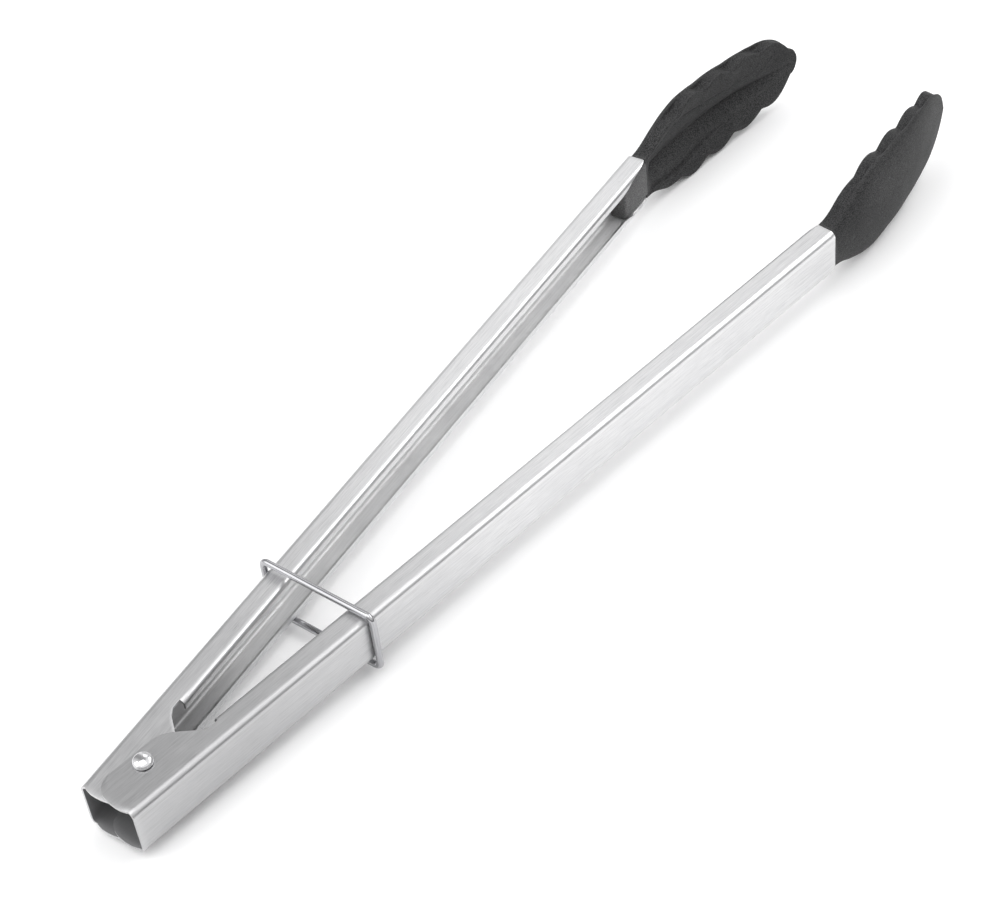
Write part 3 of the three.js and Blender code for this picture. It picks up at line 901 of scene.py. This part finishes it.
def make_spring():
    """The coil rides on the pivot and each leg on its own arm, so that the legs follow the arms."""
    coil_r = BUSH_R + 2 * CLEAR + SPRING_WIRE / 2
    pitch = SPRING_WIRE + CLEAR / 2
    web = WEB_TO_AXIS - SHEET - CLEAR - SPRING_WIRE / 2
    leg_x = SPRING_LEG * math.cos(OPEN) - web * math.sin(OPEN)
    leg_y = SPRING_LEG * math.sin(OPEN) + web * math.cos(OPEN)
    leave = math.atan2(leg_y, leg_x) + math.acos(coil_r / math.hypot(leg_x, leg_y))
    turn = 2 * math.pi * SPRING_COILS + 2 * (leave - math.pi)
    rise = pitch * turn / (2 * math.pi)
    steps = SPRING_COILS * 40
    coil = []
    for i in range(steps + 1):
        a = -leave - turn * i / steps
        coil.append((coil_r * math.cos(a), coil_r * math.sin(a), rise * (i / steps - 0.5)))
    mesh = tube("torsion_spring_coil", coil, SPRING_WIRE / 2)
    obj = finish_object("torsion_spring_coil", mesh, SPRING, "pivot", TONGS)
    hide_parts("torsion_spring")
    for side, word in ((-1, "right"), (1, "left")):
        z = side * rise / 2
        root = Vector((coil_r * math.cos(leave), side * coil_r * math.sin(leave), z))
        end = Vector((leg_x, side * leg_y, z))
        points = [tuple(root.lerp(end, k / 12)) for k in range(13)]
        mesh = tube("torsion_spring_leg_" + word, points, SPRING_WIRE / 2)
        leg = finish_object(
            "torsion_spring_leg_" + word, mesh, SPRING, word + "_side", TONGS
        )
        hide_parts("torsion_spring")


def make_ring():
    x = RING_STATION * math.cos(OPEN)
    half_z = STACK_TOP + RING_PLAY + RING_WIRE / 2
    half_y = (WEB_TO_AXIS + CLEAR + RING_WIRE / 2) / math.cos(OPEN) + x * math.tan(OPEN)
    y, z, r = half_y - RING_CORNER, half_z - RING_CORNER, RING_CORNER
    points = []
    corners = ((y, z, 0), (-y, z, 1), (-y, -z, 2), (y, -z, 3))
    for n, (cy, cz, quarter) in enumerate(corners):
        for i in range(13):
            a = ARC * (quarter + i / 12)
            points.append((x, cy + r * math.cos(a), cz + r * math.sin(a)))
        ny, nz, nq = corners[(n + 1) % 4]
        a = ARC * nq
        start = Vector(points[-1])
        end = Vector((x, ny + r * math.cos(a), nz + r * math.sin(a)))
        points += [tuple(start.lerp(end, k / 20)) for k in range(1, 20)]
    mesh = tube("lock_ring_wire", points, RING_WIRE / 2, sides=28, closed=True)
    obj = finish_object("lock_ring_wire", mesh, POLISHED, "ring", TONGS)
    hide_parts("lock_ring")


for side, word in ((-1, "right"), (1, "left")):
    make_arm(side, word)
    make_head(side, word)
    core = frame["nodes"][word + "_head_core"]
    core.data.materials.clear()
    core.data.materials.append(CORE)
make_rivet()
make_bush()
make_spring()
make_ring()

# ------------------------------------------------------------------ floor, light and camera


def make_floor():
    bm = bmesh.new()
    n = 24
    size = 3.0
    for i in range(n + 1):
        for j in range(n + 1):
            bm.verts.new(((i / n - 0.5) * 2 * size, (j / n - 0.5) * 2 * size, -0.0002))
    bm.verts.ensure_lookup_table()
    for i in range(n):
        for j in range(n):
            a = i * (n + 1) + j
            bm.faces.new([bm.verts[a], bm.verts[a + n + 1], bm.verts[a + n + 2], bm.verts[a + 1]])
    bmesh.ops.recalc_face_normals(bm, faces=bm.faces)
    mesh = bpy.data.meshes.new("floor")
    bm.to_mesh(mesh)
    bm.free()
    floor = bpy.data.objects.new("floor", mesh)
    bpy.context.scene.collection.objects.link(floor)
    m = Nodes("floor_paper")
    m.shader.inputs["Base Color"].default_value = (0.96, 0.96, 0.96, 1)
    m.shader.inputs["Roughness"].default_value = 0.9
    m.shader.inputs["Specular IOR Level"].default_value = 0.1
    mesh.materials.append(m.material)


def area(name, location, size, power, size_y=None):
    """A soft light that looks at the middle of the tongs."""
    light = bpy.data.lights.new(name, "AREA")
    light.energy = power
    light.shape = "RECTANGLE"
    light.size = size
    light.size_y = size_y or size
    obj = bpy.data.objects.new(name, light)
    obj.location = location
    obj.rotation_euler = (-Vector(location)).to_track_quat("-Z", "Y").to_euler()
    bpy.context.scene.collection.objects.link(obj)


def make_world():
    """Pale studio walls: darker stretches for the upper faces to mirror, and a dim near side low down."""
    world = bpy.data.worlds.new("studio")
    world.use_nodes = True
    tree = world.node_tree
    background = tree.nodes["Background"]
    source = tree.nodes.new("ShaderNodeTexCoord")
    split = tree.nodes.new("ShaderNodeSeparateXYZ")
    tree.links.new(source.outputs["Generated"], split.inputs["Vector"])

    def ramp(axis, stops):
        shift = tree.nodes.new("ShaderNodeMapRange")
        shift.inputs["From Min"].default_value = -1.0
        tree.links.new(split.outputs[axis], shift.inputs["Value"])
        node = tree.nodes.new("ShaderNodeValToRGB")
        elements = node.color_ramp.elements
        while len(elements) < len(stops):
            elements.new(0.5)
        for element, (position, tone) in zip(elements, stops):
            element.position = (position + 1) / 2
            element.color = (tone, tone, tone * 1.005, 1)
        tree.links.new(shift.outputs["Result"], node.inputs["Fac"])
        return node.outputs["Color"]

    wall = ramp(
        "X",
        [(-0.2, 0.9), (0.22, 0.34), (0.4, 0.42), (0.54, 0.98), (0.62, 0.72), (0.7, 0.6), (1.0, 0.8)],
    )
    height = ramp("Z", [(0.0, 0.3), (0.35, 0.5), (0.55, 0.95), (1.0, 1.0)])
    side = ramp("Y", [(0.0, 0.0), (0.25, 1.0)])
    mix = tree.nodes.new("ShaderNodeMix")
    mix.data_type = "RGBA"
    tree.links.new(side, mix.inputs["Factor"])
    tree.links.new(height, mix.inputs[6])
    tree.links.new(wall, mix.inputs[7])
    tree.links.new(mix.outputs[2], background.inputs["Color"])
    background.inputs["Strength"].default_value = 1.06
    bpy.context.scene.world = world


make_floor()
make_world()
area("key", (-1.25, 0.95, 1.25), 1.4, 8)
area("strip", (0.9, -0.45, 1.1), 1.3, 5.5, 0.4)
area("far", (0.81, 0.72, 1.05), 0.55, 0.65)
area("top", (-0.5, 0.1, 1.9), 1.7, 12)

scene = bpy.context.scene
scene.view_settings.view_transform = "Standard"
camera_data = bpy.data.cameras.new("camera")
camera_data.sensor_width = 36.0
camera_data.lens = 87.216
camera = bpy.data.objects.new("camera", camera_data)
camera.location = (-0.451985, -0.385703, 0.561413)
camera.rotation_euler = [math.radians(a) for a in (46.11706, 4.63239, -52.57784)]
scene.collection.objects.link(camera)
scene.camera = camera

bpy.context.view_layer.update()
